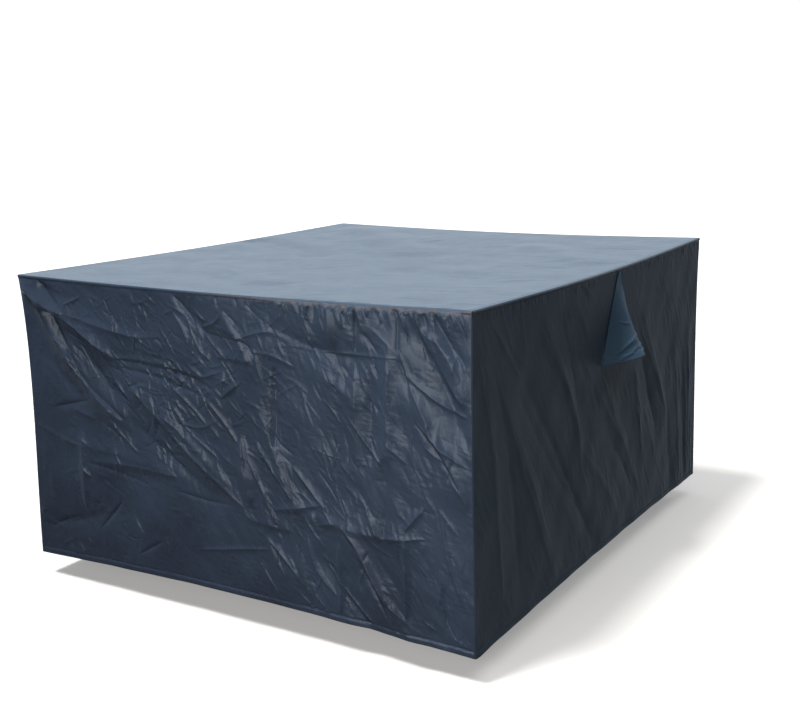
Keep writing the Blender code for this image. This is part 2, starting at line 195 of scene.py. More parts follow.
# ---------------- the creases
# A crease: a ridge (rise above 0) or a valley (below 0) along a path. Its two flanks run down over
# the widths left and right, as seen when going along the path. Its height goes from rise to
# end_rise along the way, or stays at rise. Paths and widths in centimetres, rises in millimetres.
Crease = namedtuple("Crease", "path left right rise end_rise", defaults=(None,))
FRONT_CREASES = [Crease(*row) for row in (
    # The folds that fan out from the top left corner.
    (((2.5, 81), (7, 78), (16.5, 75.2)), 4, 1.5, 6.8),
    (((8.8, 83.5), (12, 79.5), (16, 76.8)), 3, 2.4, -13.6, -6.2),
    (((0.7, 83.4), (3.4, 80.4)), 0.9, 0.9, 5.1),
    (((0.5, 80), (5, 78.3), (15, 74.3)), 1.3, 1.9, -4.5),
    (((12, 76.2), (17, 73.5), (25, 69.5), (35, 63.4)), 3, 1.3, 5.9),
    (((17, 75.3), (25, 73.4), (35, 71.6), (44, 70.3), (52, 71)), 1.6, 0.9, 2.3, 1.9),
    (((10, 77), (14, 70), (18, 63)), 1.8, 4.5, -10.3),
    (((17, 65), (20.5, 58.5), (24.5, 54), (37, 46)), 1.8, 1.5, -8.5),
    (((18, 77.5), (24, 80)), 0.8, 0.8, 3.6, 3.5),
    # The level folds at mid height, and the long ridge that runs down to the right.
    (((36, 63.6), (46, 63.8), (62, 62.2), (68, 60.5), (74, 56.2)), 1.8, 1.3, 3.3),
    (((38, 60.8), (50, 59.6), (56, 58.2), (69, 55.4)), 1.6, 1.5, -3.4, -2.5),
    (((74, 56.2), (77, 58.5), (80.5, 61)), 1.6, 1.2, 5, 4.1),
    (((35, 57), (39.5, 52.3)), 1, 1, 5.7),
    (((40, 55.5), (45.5, 57.4)), 0.9, 1, -2.3),
    (((41.5, 54.8), (44, 53.3)), 0.8, 0.8, 2.7),
    (((42, 55.5), (48, 49.5), (54, 46), (60, 40), (66, 36), (79, 27)), 1.8, 2.1, 7),
    # The quiet lower left.
    (((32, 45), (38, 40), (42.7, 36.2)), 1.2, 1.2, 5, 4.2),
    (((18, 46.5), (26, 44.5)), 1.6, 1.6, 3.4, 2.5),
    (((10, 46.5), (23, 49.5)), 1.2, 1.5, -3.9, -3.4),
    (((1.5, 40.5), (10, 37.5), (18.5, 35.7)), 1.4, 1.4, 2.5),
    (((25, 31.6), (40, 32.2), (56, 31.2)), 2.8, 2, 3.4, 4.2),
    (((22, 30.8), (37, 29.2), (46, 27)), 0.9, 0.9, -1.9),
    (((20.5, 40), (20.5, 17)), 2.5, 2.5, 5.7),
    (((19.5, 29.5), (23.5, 26.3)), 1, 1, 3.2),
    (((26.5, 11.5), (35, 20.5)), 1.2, 1.2, -4.1),
    (((40, 17), (43.3, 11)), 1, 1, 4.2),
    (((5.5, 8.8), (14, 13), (18.5, 13.5)), 1.2, 1.2, -2.5, -1.9),
    (((4, 11), (9, 9.3)), 1, 1, 1.9),
    (((0.5, 13.5), (3.5, 13.8)), 0.8, 0.8, 1.9, 1.4),
    (((41, 5.5), (50, 10.8)), 1.2, 1.2, -3.3),
    (((13, 3.7), (16, 1.8)), 0.8, 0.8, 2.6),
    (((17, 5.5), (19.5, 2)), 0.8, 0.8, 3.4),
    (((20.5, 8), (22, 5)), 0.8, 0.8, 3.4),
    # The crumpled middle.
    (((60, 83.5), (63.5, 79), (66, 75.5)), 1.6, 1.4, -5.9),
    (((66.5, 79.5), (70, 77)), 0.8, 0.8, 3.4),
    (((55.5, 77.8), (59, 79.2)), 0.7, 0.7, 1.7),
    (((59, 78.5), (62, 75), (63.5, 70)), 1, 1, 4.2),
    (((68, 75), (74, 77), (76, 79.5)), 0.9, 1, 3),
    (((69, 73.8), (80, 72.5)), 1, 1.4, -2.5),
    (((73.5, 76), (78, 75), (80.5, 73.3)), 1.8, 1, 2.5),
    (((81, 73.3), (91, 76.5), (96.5, 74), (104.5, 71.9)), 1.2, 1.5, 3, 2.9),
    (((104.5, 71.9), (129, 72.2)), 0.8, 0.8, 2),
    (((73, 67.5), (84, 67.2)), 4, 1.5, 3.8),
    (((80.5, 73), (84, 71.5), (86, 68.5)), 1, 1.4, -4.2),
    (((85, 70), (92, 69.8), (98, 67.3)), 1.1, 1.6, 2.8),
    (((69, 73.5), (76.5, 67)), 1, 1, 4.2),
    (((67, 69), (70.5, 66.3)), 0.9, 0.9, 3.8),
    (((62.5, 64), (68, 61)), 1.4, 1, 3.4),
    (((67.5, 61), (74, 63.2)), 1, 1, 2.5),
    (((74.8, 63), (74.2, 57)), 1, 1, 4.2),
    (((54, 62.5), (63, 57.8)), 1, 1, 3, 2.6),
    (((56, 57.5), (63.5, 52.5), (68, 48)), 1, 1, 4.2, 3.8),
    (((56, 53), (59, 53.3)), 0.7, 0.7, 1.7),
    (((56, 52.5), (60, 47.5)), 0.9, 0.9, 3.8),
    (((60, 47.3), (64, 46.4), (68, 47), (71, 49.3)), 1, 1, 2.5, 1.9),
    (((69, 54.5), (74, 50), (79, 43.5)), 1.4, 1.2, 5),
    (((82.5, 56), (87, 54.8)), 0.8, 0.8, 2),
    (((83, 53), (87, 49)), 0.9, 0.9, 3.8),
    (((92, 66), (91.5, 45)), 4, 2, -8.4),
    (((63, 44.5), (71, 39.5)), 1, 1, 3.3),
    # Gathers that run down from the seam.
    (((103.5, 84), (104.4, 79.5)), 0.9, 0.8, 3.4),
    (((108, 84), (107.2, 80)), 0.8, 0.9, 3.4),
    (((110, 84), (110.5, 74)), 4, 5, 14.1, 8.1),
    (((113, 84), (114, 78.5)), 0.9, 0.9, 3.8),
    (((115.6, 84.2), (116.2, 80)), 0.7, 0.7, 2.9),
    (((117.8, 83), (117.5, 73)), 1.2, 1.2, -5),
    (((118.4, 84.2), (120, 77.5)), 2, 1.2, 5),
    (((124.5, 84), (125.4, 80.5)), 0.8, 0.8, 3.4),
    (((129.7, 84.3), (129.7, 74)), 0.9, 0.9, -3.8),
    (((131.4, 84.2), (132.4, 78)), 1, 0.8, 3.4),
    # The folds at the near corner.
    (((134.8, 82.5), (140.5, 71), (147.5, 62.3)), 3.4, 1.9, 8),
    (((139, 84.3), (143.5, 77), (148, 71.5)), 2, 2.5, -8.4),
    (((141.8, 84.3), (144, 79)), 1, 1, 4.2),
    (((144.8, 84.3), (146, 80)), 0.9, 0.9, 3.8),
    (((119.5, 78), (124.5, 72.5)), 1, 1, -4.2),
    (((122, 74), (124, 67)), 1, 1, -4.2),
    (((130, 72), (132.3, 66)), 1, 1, -4.2),
    (((131, 69), (137, 64.5), (145, 60.2), (148.5, 59.4)), 1.4, 1.2, 4),
    (((133, 65.5), (138.5, 56)), 2.5, 1.2, 5),
    (((135, 56.5), (141, 51), (148.3, 47.3)), 1.2, 1.2, 4),
    (((134.5, 56.5), (141, 49.6), (146, 42)), 1.2, 1.4, -5),
    # The upright packing folds on the right, and the facets between them.
    (((117, 68), (117.2, 44)), 3.5, 5, 6.2),
    (((121.5, 68), (121.5, 44)), 4, 2, -4.6, -4.5),
    (((118, 52), (124, 45)), 1.2, 1.2, 5),
    (((125.5, 46), (124.5, 26)), 4, 3.5, -12.5, -11.2),
    (((118.5, 34), (123, 25)), 1.2, 1.4, 5),
    (((80, 45), (80.6, 37), (82.6, 28)), 4.5, 3, 12.6),
    (((84, 37), (91, 23.5)), 1.2, 1.4, 5),
    (((85, 45), (91, 37.5), (97, 30.5)), 2, 1.4, 5.9),
    (((97, 40), (107, 29.7)), 1.6, 1.2, 5),
    (((91, 27.2), (97, 28.7), (105, 30.7)), 2, 1.6, 4),
    (((57, 27), (68, 25.3), (76, 25.8)), 1.2, 1, -2.5),
    (((80, 24.2), (83, 22.7), (96, 22)), 4, 1.5, 3.8, 3.4),
    (((64, 11), (78, 13.7), (88, 15.5)), 1, 1.2, 2.5),
    (((87.5, 18.8), (94, 13), (100, 7)), 1.6, 1, 4.2),
    (((88, 18), (93, 9)), 1, 1.4, 4.2),
    (((96.8, 28), (97.2, 20), (99, 11), (101.5, 5)), 1.6, 2.3, 6.7),
    (((102.5, 28.5), (104.8, 23)), 1, 1, 4.2),
    (((105, 25.5), (109, 26.5)), 0.9, 0.9, 2.3),
    (((112, 26), (116, 22.5), (119, 18), (124.5, 8)), 1.8, 1.5, 6.3),
    (((116.5, 19), (121, 11.5), (125, 4.5)), 1.2, 1.4, -5),
    (((110.5, 21), (110.8, 3)), 1.8, 1.8, 7.6, 7.5),
    (((107, 15), (112, 9), (120, 2)), 1.2, 1.2, 5, 4.8),
    (((101, 21), (103, 13), (109.5, 7)), 1.2, 1.2, 5),
    (((130.5, 26), (130.6, 6)), 1.8, 1.8, 7.6, 7.5),
    (((124, 25.5), (130, 26.3), (136, 27.5)), 1.1, 1, 2.5),
    (((131, 29), (136, 35)), 2.5, 1.2, 4.8),
    (((126, 8), (131.5, 4)), 1, 1, 4.1, 3.2),
    (((141, 35), (143, 22), (148, 11)), 1.2, 1.2, 5),
    (((141.5, 16), (142, 4)), 1, 1.4, -4.2),
    (((136, 6), (139, 4.5)), 0.8, 0.8, 2.7, 2.6),
)]
RIGHT_CREASES = [Crease(*row) for row in (
    (((3, 73), (9.5, 52), (11.5, 30), (14, 10)), 1.6, 1.6, 1.8, 1.2),
    (((9, 81), (16, 74), (24, 65)), 1.8, 1.5, 1.8, 1.5),
    (((14, 64), (24, 44), (32, 29), (42, 9)), 2.2, 2, 2.1, 1.8),
    (((38, 74), (50, 60), (60, 48), (63, 30), (66, 25)), 3.6, 3, 2.4, 1.8),
    (((26, 58), (40, 40), (54, 25), (68, 12)), 3.8, 3.8, -2.4, -1.8),
    (((62, 84), (76, 75)), 2, 1.5, 2.1, 1.5),
    (((60, 66), (74, 52), (86, 38), (97, 28), (105, 15)), 3, 2.5, 2.4, 1.8),
    (((55, 66), (60, 65.5)), 1, 1, 1.1, 0.9),
    (((104, 53), (110, 35)), 2, 1.5, 2.1, 1.8),
    (((113, 52), (120, 38), (125, 27)), 3.5, 3, -3, -2.4),
    (((110, 62), (124, 45), (135, 30)), 3, 2.5, 2.4, 2.1),
    (((134, 30), (138, 12)), 2, 2, -2.1, -1.8),
    (((146, 44), (152, 25)), 1.6, 1.4, 1.8),
    (((153, 40), (155, 25)), 1.4, 1.4, 1.8),
    (((156, 48), (158, 30)), 1.4, 1.4, 1.8),
    (((149, 22), (151, 1)), 1.5, 1.5, 1.5, 1.8),
    (((154.5, 26), (156, 1)), 1.4, 1.4, 1.5, 1.8),
    (((159.5, 30), (160.5, 1)), 1.2, 1.2, 1.5),
)]
BACK_CREASES = [Crease(*row) for row in (
    (((4, 82), (16, 70), (34, 58)), 2.6, 1.8, 8.3, 4.6),
    (((26, 52), (44, 40), (58, 22)), 1.8, 2, 5.8, 4.6),
    (((146, 82), (136, 70), (120, 60)), 1.8, 2.6, 8.3, 4.6),
    (((75, 66), (75.5, 8)), 2.4, 2.4, 4.1, 3.2),
    (((96, 48), (108, 34), (128, 24)), 1.8, 1.6, 5.2, 3.9),
    (((12, 34), (30, 26)), 1.6, 1.4, 4.6, 3.2),
)]
LEFT_CREASES = [Crease(*row) for row in (
    (((4, 82), (18, 68), (38, 54)), 2.6, 1.8, 8.3, 4.6),
    (((161, 82), (148, 68), (130, 58)), 1.8, 2.6, 8.3, 4.6),
    (((40, 60), (52, 36), (58, 8)), 2.2, 2.2, 5.2, 3.9),
    (((82, 70), (82.5, 6)), 2.4, 2.4, 4.1, 3.2),
    (((100, 52), (116, 36), (126, 10)), 2, 2, 5.2, 3.9),
)]
TOP_CREASES = [Crease(*row) for row in (
    (((28, 163), (50, 134), (68, 108)), 2.6, 2.6, 2, 1.2),
    (((2, 105), (14, 97), (28, 90)), 2.2, 2.2, 2, 1.2),
    (((43, 42), (55, 32)), 1.8, 1.8, 1.8, 1.4),
)]

# Small creases that are scattered over a part of a panel: the area's corners, how many, their
# main direction and its spread in degrees, and their mean length, flank and height. In the units
# of the creases.
Scatter = namedtuple("Scatter", "s0 h0 s1 h1 count angle spread length flank rise seed")
FRONT_SCATTER = [
    Scatter(2, 4, 58, 56, 80, -35, 70, 5.0, 0.7, 1.7, 11),
    Scatter(45, 34, 98, 82, 90, -50, 50, 7.5, 0.55, 2.2, 12),
    Scatter(45, 34, 98, 80, 60, 25, 50, 5.0, 0.55, 1.8, 17),
    Scatter(85, 2, 149, 45, 95, -60, 50, 6.5, 0.60, 2.0, 13),
    Scatter(95, 42, 149, 80, 60, -65, 50, 6.0, 0.60, 1.9, 14),
    Scatter(14, 56, 60, 83, 70, -35, 60, 6.0, 0.55, 2.4, 15),
    Scatter(28, 33, 68, 62, 60, -45, 50, 6.0, 0.55, 2.2, 16),
]
RIGHT_SCATTER = [
    Scatter(3, 3, 80, 80, 40, -58, 25, 9.0, 1.8, 0.8, 21),
    Scatter(75, 2, 162, 52, 60, -65, 20, 8.0, 1.6, 0.9, 22),
    Scatter(110, 50, 162, 80, 14, -60, 30, 7.0, 1.6, 0.8, 23),
]
BACK_SCATTER = [
    Scatter(3, 3, 147, 80, 120, -50, 60, 7.0, 1.4, 1.6, 31),
]
LEFT_SCATTER = [
    Scatter(3, 3, 162, 80, 120, -50, 60, 7.0, 1.4, 1.6, 41),
]
TOP_SCATTER = [
    Scatter(4, 4, 146, 161, 34, 25, 60, 14.0, 3.0, 1.1, 51),
    Scatter(118, 6, 148, 158, 40, 5, 12, 14.0, 1.4, 1.0, 52),
]

# Gathers under the seam of a wall's top, over a part of its length: how far apart they are, how
# deep, how they lean, and their flank and height. In metres.
Gather = namedtuple("Gather", "start end gap depth lean flank rise")
GATHER_TOP = 0.003
FRONT_GATHERS = [
    Gather(0.06, 0.60, 0.045, 0.024, 0.0, 0.006, 0.0016),
    Gather(0.60, 0.95, 0.028, 0.032, 0.2, 0.007, 0.0030),
    Gather(0.95, 1.30, 0.016, 0.042, 0.1, 0.007, 0.0050),
    Gather(1.30, 1.47, 0.013, 0.048, 0.4, 0.007, 0.0050),
]
RIGHT_GATHERS = [
    Gather(0.03, 1.62, 0.018, 0.022, 0.0, 0.005, 0.0022),
]
HIDDEN_GATHERS = [
    Gather(0.03, 1.46, 0.030, 0.030, 0.0, 0.007, 0.0025),
]


# ---------------- shapes of the sewn cover
ROLL_LIMITS = (0.4, 1.6)  # how uneven the front edge's roundness gets, as shares of its mean
RIPPLE_WAVES = 7
RIPPLE_PITCHES = (0.6, 1.8)  # as shares of a ripple's size


def smooth_step(value):
    """0 below 0, 1 above 1, and a smooth way between them."""
    value = np.clip(value, 0.0, 1.0)
    return value * value * (3.0 - 2.0 * value)


def sets_in(value, over, after=0.0):
    """0 up to after, then a smooth way to 1."""
    return smooth_step((value - after) / over)


def corner_place(corner, up):
    """The plan position of an upright edge, up being 0 at the hem and 1 at the top."""
    up = np.clip(up, 0.0, 1.0)
    inset = corner.pull * np.sin(math.pi * up**PULL_SKEW) - corner.poke * up**POKE_POWER
    x = corner.x_side * (WIDTH / 2 - inset)
    y = corner.y_side * (DEPTH / 2 - inset)
    return np.stack((x, y), axis=-1)


def between(start, end, share):
    """The points a share of the way from start to end."""
    return start * (1.0 - share)[..., None] + end * share[..., None]


def edge_z(dip, share):
    """The height of the top's outer face along one of its edges."""
    return CORNER_Z - dip * np.sin(math.pi * share)


def wall_places(wall, s, h, out):
    """The points out beyond a wall's flat face, at s along it and h above the hem's corners."""
    along = s / wall.length
    up = h / HEIGHT
    plan = between(corner_place(wall.start, up), corner_place(wall.end, up), along)
    hem = HEM_Z + wall.hem_lift * np.sin(math.pi * along)
    z = hem + (edge_z(wall.dip, along) - hem) * up
    places = np.concatenate((plan, z[..., None]), axis=-1)
    return places + np.array(wall.outward) * out[..., None]


def top_places(x, y, rise):
    """The points rise above the top, as it is spanned between its four edges."""
    along = x / WIDTH
    back = y / DEPTH
    one = np.ones(1)
    front_line = between(corner_place(FRONT_LEFT, one), corner_place(FRONT_RIGHT, one), along)
    back_line = between(corner_place(BACK_LEFT, one), corner_place(BACK_RIGHT, one), along)
    plan = between(front_line, back_line, back)
    front_to_back = edge_z(FRONT_DIP, along) * (1.0 - back) + edge_z(BACK_DIP, along) * back
    left_to_right = edge_z(LEFT_DIP, back) * (1.0 - along) + edge_z(RIGHT_DIP, back) * along
    sag = MIDDLE_SAG * (np.sin(math.pi * along) * np.sin(math.pi * back)) ** 2
    z = front_to_back + left_to_right - CORNER_Z - sag + rise
    return np.concatenate((plan, z[..., None]), axis=-1)


def ripples(s, h, seed, size, rise):
    """A faint uneven swell, as wide as size."""
    draw = np.random.RandomState(seed)
    total = 0.0
    for _ in range(RIPPLE_WAVES):
        angle = draw.uniform(0.0, math.pi)
        pitch = size * draw.uniform(*RIPPLE_PITCHES)
        phase = draw.uniform(0.0, 2.0 * math.pi)
        way = s * math.cos(angle) + h * math.sin(angle)
        total = total + np.sin(way * 2 * math.pi / pitch + phase)
    return rise * total / math.sqrt(RIPPLE_WAVES)


def front_gathering(s):
    """How strongly the cloth under the top's front edge is gathered, from 0 to 1."""
    return sets_in(s, after=0.80, over=0.25) * (1.0 - sets_in(s, after=1.44, over=0.05))


def front_radius(s):
    """The radius of the top's front edge, which is rounder and uneven where it is gathered."""
    uneven = 1.0 + ripples(s, 0.0 * s, seed=77, size=0.035, rise=0.35)
    return CORNER_RADIUS + FRONT_ROLL * front_gathering(s) * np.clip(uneven, *ROLL_LIMITS)


def front_shift(s, distance):
    """How far a point near the top's front edge moves back, as that edge is rounder."""
    more = (front_radius(s) - CORNER_RADIUS) * RADIUS_SHARE
    return more * (1.0 - sets_in(distance, after=EDGE_IN, over=FRONT_ROLL_FADE))


def rounded_edge(distance, radius=CORNER_RADIUS):
    """How far a face has turned in, at a distance from its sharp corner."""
    inside = np.clip(1.0 - distance / radius, 0.0, 1.0)
    return radius * (1.0 - np.sqrt(1.0 - inside * inside))


def hood_calm(s, h):
    """1 where the right wall lies flat behind the vent hood, and 0 away from it."""
    middle_h = (HOOD_MOUTH_H + HOOD_TIP_H) / 2
    reach = np.maximum(abs(s - HOOD_S), abs(h - middle_h)) / HOOD_CALM_HALF
    return 1.0 - sets_in(reach, after=1.0, over=HOOD_CALM_FADE)


# ---------------- folds and creases
FOLD_STEPS = 8
CORNER_CUT = 0.25  # the share of a step that is cut off at each of its ends
FOLD_POWER = 1.35  # above 1, a flank is steepest at the crest
FOLD_TIP_POWER = 0.5
CREST_ROUND = 0.0006  # the radius at a crease's crest
NARROW_FLANK = 0.008  # up to here a crease's flank is steep at its crest only, and seen as a line
WIDE_FLANK = 0.018  # from here it is a flat facet
NARROW_POWER = 2.3
WIDE_POWER = 1.25
TIP_SHARE = 0.30  # how wide a crease still is at its two tips
TIP_POWER = 0.6
LEVEL_LESS = 0.45  # how much lower a level crease is than an upright one

# How random creases and gathers vary, as shares of their means, and how many stand out or go in.
LENGTHS = (0.45, 1.6)
KINKS = (-0.22, 0.22)
FLANKS = (0.6, 1.5)
RISES = (0.5, 1.5)
OUT_OR_IN = (1.0, 1.0, -1.0)
CREASE_END = 0.7
GATHER_SIZES = (0.4, 1.6)
GATHER_LEANS = (-0.25, 0.25)
GATHER_FLANKS = (0.6, 1.4)
GATHER_END = 0.3


def fold_path(fold):
    """The points of a fold's line, from its start to its end."""
    start = np.array((fold.s0, fold.h0))
    end = np.array((fold.s1, fold.h1))
    along = end - start
    left = np.array((-along[1], along[0])) / np.linalg.norm(along)
    share = np.linspace(0.0, 1.0, FOLD_STEPS + 1)[:, None]
    return start + along * share + left * fold.bow * np.sin(math.pi * share)


def softened_path(points):
    """A crease's path with its corners cut twice."""
    points = np.array(points, dtype=float)
    for _ in range(2):
        near = points[:-1] * (1.0 - CORNER_CUT) + points[1:] * CORNER_CUT
        far = points[:-1] * CORNER_CUT + points[1:] * (1.0 - CORNER_CUT)
        middle = np.stack((near, far), axis=1).reshape(-1, 2)
        points = np.concatenate((points[:1], middle[1:-1], points[-1:]))
    return points


def in_metres(crease, size=CM):
    """A crease of the tables above, softened and in metres, size being the unit of its path."""
    end_rise = crease.rise if crease.end_rise is None else crease.end_rise
    path = softened_path(crease.path) * size
    return Crease(path, crease.left * size, crease.right * size, crease.rise * MM, end_rise * MM)


def way_along(path):
    """The lengths of a path's steps, and how far along it each of its points is."""
    lengths = np.linalg.norm(np.diff(path, axis=0), axis=1)
    return lengths, np.concatenate(((0.0,), np.cumsum(lengths)))


def near_path(path, reach, points):
    """The points about a path: which ones, their distance to it, their side and how far along."""
    near = (points > path.min(axis=0) - reach) & (points < path.max(axis=0) + reach)
    inside = np.flatnonzero(np.all(near, axis=1))
    lengths, before = way_along(path)
    distance = np.full(len(inside), np.inf)
    side = np.zeros(len(inside))
    share = np.zeros(len(inside))
    for start, step, length, done in zip(path[:-1], np.diff(path, axis=0), lengths, before):
        offset = points[inside] - start
        part = np.clip(offset @ step / (length * length), 0.0, 1.0)
        gap = np.linalg.norm(offset - part[:, None] * step, axis=1)
        nearer = gap < distance
        distance = np.where(nearer, gap, distance)
        side = np.where(nearer, step[0] * offset[:, 1] - step[1] * offset[:, 0], side)
        share = np.where(nearer, (done + part * length) / before[-1], share)
    return inside, distance, side, share


def broad_swell(distance, half_width):
    """A rounded rise, 1 on its line and 0 at its half width."""
    return (1.0 + np.cos(math.pi * np.minimum(distance / half_width, 1.0))) / 2.0


def add_fold(height, points, fold):
    """A main fold: a broad swell, with a sharper crest along its middle."""
    inside, distance, _, share = near_path(fold_path(fold), fold.half_width, points)
    swell = broad_swell(distance, fold.half_width)
    tip = np.sin(math.pi * share) ** FOLD_TIP_POWER
    crest = np.clip(1.0 - distance / (fold.half_width * CREST_SHARE), 0.0, 1.0) ** FOLD_POWER * tip
    height[inside] += fold.rise * (BROAD_SHARE * swell + (1.0 - BROAD_SHARE) * crest)


def crease_tip(share):
    """How wide and high a crease is, at a share of its length, as it narrows to both tips."""
    return TIP_SHARE + (1.0 - TIP_SHARE) * np.sin(math.pi * np.clip(share, 0.0, 1.0)) ** TIP_POWER


def add_crease(height, points, crease):
    """A crease with two flanks, which narrows and fades at both tips."""
    inside, distance, side, share = near_path(crease.path, max(crease.left, crease.right), points)
    tip = crease_tip(share)
    full = np.where(side > 0, crease.left, crease.right)
    flatness = sets_in(full, after=NARROW_FLANK, over=WIDE_FLANK - NARROW_FLANK)
    power = NARROW_POWER + (WIDE_POWER - NARROW_POWER) * flatness
    rounded = np.sqrt(distance**2 + CREST_ROUND**2) - CREST_ROUND
    profile = np.clip(1.0 - rounded / (full * tip), 0.0, 1.0) ** power
    height[inside] += (crease.rise + (crease.end_rise - crease.rise) * share) * tip * profile


def scattered(scatter):
    """Small creases at random places, the same ones in every run."""
    draw = np.random.RandomState(scatter.seed)
    creases = []
    for _ in range(scatter.count):
        middle = draw.uniform((scatter.s0, scatter.h0), (scatter.s1, scatter.h1))
        angle = math.radians(draw.normal(scatter.angle, scatter.spread / 2))
        half = scatter.length * draw.uniform(*LENGTHS) / 2
        along = np.array((math.cos(angle), math.sin(angle))) * half
        kink = np.array((-along[1], along[0])) * draw.uniform(*KINKS)
        flanks = scatter.flank * draw.uniform(*FLANKS, 2)
        rise = scatter.rise * draw.uniform(*RISES) * draw.choice(OUT_OR_IN)
        rise *= 1.0 - LEVEL_LESS * math.cos(angle) ** 2
        path = (middle - along, middle + kink, middle + along)
        creases.append(in_metres(Crease(path, *flanks, rise, rise * CREASE_END)))
    return creases


def gathered(seed, gathers):
    """Gathers that run down from the seam under the top."""
    draw = np.random.RandomState(seed)
    creases = []
    top = HEIGHT - GATHER_TOP
    for row in gathers:
        place = row.start
        while place < row.end:
            depth = row.depth * draw.uniform(*GATHER_SIZES)
            lean = depth * (row.lean + draw.uniform(*GATHER_LEANS))
            path = np.array(((place, top), (place + lean, top - depth)))
            flanks = row.flank * draw.uniform(*GATHER_FLANKS, 2)
            rise = row.rise * draw.uniform(*RISES) * draw.choice(OUT_OR_IN)
            creases.append(Crease(path, *flanks, rise, rise * GATHER_END))
            place += row.gap * draw.uniform(*GATHER_SIZES)
    return creases


# ---------------- the points of a panel, and meshes
TURN_ROW = 0.001  # how far apart the rows of turned-in cloth are in the plan that is triangulated
CREST_ROWS = (0.0, 0.0020, -0.0020, 0.0050, -0.0050)  # rows of points beside a crease's crest
CREST_SPACING = 0.0062
FOOT_FLANK = 0.011  # a flank wider than this has points along its foot too
SMALL_CREASE = 0.080  # a crease shorter than this has the first three rows only
LEAST_GAP = 0.0017
CLEAR_GAP = 0.0050  # no point of the plain grid lies this close to a crease's points
CELL_STRIDE = 1000003  # parts the numbers of the cells in one column from those in the next
MERGE_GAP = 1e-7  # points closer than this would be one in the triangulation


def along_crease(crease, rows):
    """Points along a crease: a row at each distance from its crest, and one at each wide foot."""
    path = crease.path
    _, before = way_along(path)
    at = np.linspace(0.0, before[-1], max(2, round(before[-1] / CREST_SPACING)) + 1)
    crest = np.stack([np.interp(at, before, places) for places in path.T], axis=-1)
    way = np.gradient(crest, axis=0)
    way /= np.linalg.norm(way, axis=1)[:, None]
    left = np.stack((-way[:, 1], way[:, 0]), axis=-1)
    tip = crease_tip(at / before[-1])[:, None]
    feet = [crease.left * tip, -crease.right * tip]
    feet = [foot for foot, flank in zip(feet, (crease.left, crease.right)) if flank > FOOT_FLANK]
    return [crest + left * row for row in rows], [crest + left * foot for foot in feet]


def cells_of(points, size):
    """A whole number for each point, the same for points in one square cell."""
    cells = np.floor(points / size).astype(np.int64)
    return cells[:, 0] * CELL_STRIDE + cells[:, 1]


def grid_points(columns, rows):
    """The points where columns and rows cross."""
    return np.stack(np.meshgrid(columns, rows, indexing="ij"), axis=-1).reshape(-1, 2)


def panel_points(s_low, s_high, h_low, h_high, creases, step):
    """Points over a panel: fine rows along its border, rows along its creases, and a plain grid."""
    s_middle = np.linspace(s_low[-1], s_high[0], round((s_high[0] - s_low[-1]) / step) + 1)[1:-1]
    h_middle = np.linspace(h_low[-1], h_high[0], round((h_high[0] - h_low[-1]) / step) + 1)[1:-1]
    across = grid_points(np.concatenate((s_low, s_middle, s_high)), np.concatenate((h_low, h_high)))
    border = np.concatenate((across, grid_points(np.concatenate((s_low, s_high)), h_middle)))

    rows = [[] for _ in CREST_ROWS]
    for crease in creases:
        small = np.linalg.norm(crease.path[-1] - crease.path[0]) < SMALL_CREASE
        beside, feet = along_crease(crease, CREST_ROWS[:3] if small else CREST_ROWS)
        for row, points in zip(rows, beside):
            row.append(points)
        rows[-1].extend(feet)
    low = np.array((s_low[-1], h_low[-1])) + LEAST_GAP
    high = np.array((s_high[0], h_high[0])) - LEAST_GAP
    on_creases = np.concatenate([np.concatenate(row) for row in rows])
    on_creases = on_creases[np.all((on_creases > low) & (on_creases < high), axis=1)]
    _, first = np.unique(cells_of(on_creases, LEAST_GAP), return_index=True)
    on_creases = on_creases[np.sort(first)]

    # The plain grid is of even triangles, and leaves room for the points along the creases.
    plain = []
    for index, h in enumerate(np.arange(low[1] + step / 2, high[1], step * math.sqrt(0.75))):
        s = np.arange(low[0] + step * (0.25 + 0.5 * (index % 2)), high[0], step)
        plain.append(np.stack((s, np.full_like(s, h)), axis=-1))
    plain = np.concatenate(plain)
    for shift in ((0, 0), (0.5, 0), (0, 0.5), (0.5, 0.5)):
        moved = np.array(shift) * CLEAR_GAP
        taken = np.isin(cells_of(plain + moved, CLEAR_GAP), cells_of(on_creases + moved, CLEAR_GAP))
        plain = plain[~taken]
    return np.concatenate((border, on_creases, plain))


def sheet_mesh(name, plan, places, cloth_plan):
    """A smooth mesh of triangles between a plan's points, with the cloth's plan as a UV map."""
    found = delaunay_2d_cdt([Vector(point) for point in plan], [], [], 0, MERGE_GAP, True)
    source = np.array([points[0] for points in found[3]])
    faces = source[np.array(found[2])]
    mesh = bpy.data.meshes.new(name)
    mesh.vertices.add(len(places))
    mesh.vertices.foreach_set("co", places.reshape(-1).astype(np.float32))
    mesh.loops.add(faces.size)
    mesh.loops.foreach_set("vertex_index", faces.reshape(-1))
    mesh.polygons.add(len(faces))
    mesh.polygons.foreach_set("loop_start", np.arange(len(faces)) * faces.shape[1])
    mesh.polygons.foreach_set("use_smooth", np.ones(len(faces), dtype=bool))
    layer = mesh.uv_layers.new(name="Cloth plan")
    layer.uv.foreach_set("vector", cloth_plan[faces.reshape(-1)].reshape(-1).astype(np.float32))
    mesh.update(calc_edges=True)
    mesh.validate()
    return mesh


def make_piece(name, mesh, material):
    """An object in the scene that rides on the cover, with a cloth's thickness."""
    mesh.materials.append(material)
    piece = bpy.data.objects.new(name, mesh)
    bpy.context.scene.collection.objects.link(piece)
    solidify = piece.modifiers.new("Cloth thickness", "SOLIDIFY")
    solidify.thickness = CLOTH
    solidify.offset = -1.0
    solidify.use_even_offset = False
    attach(piece, "root")
    return piece


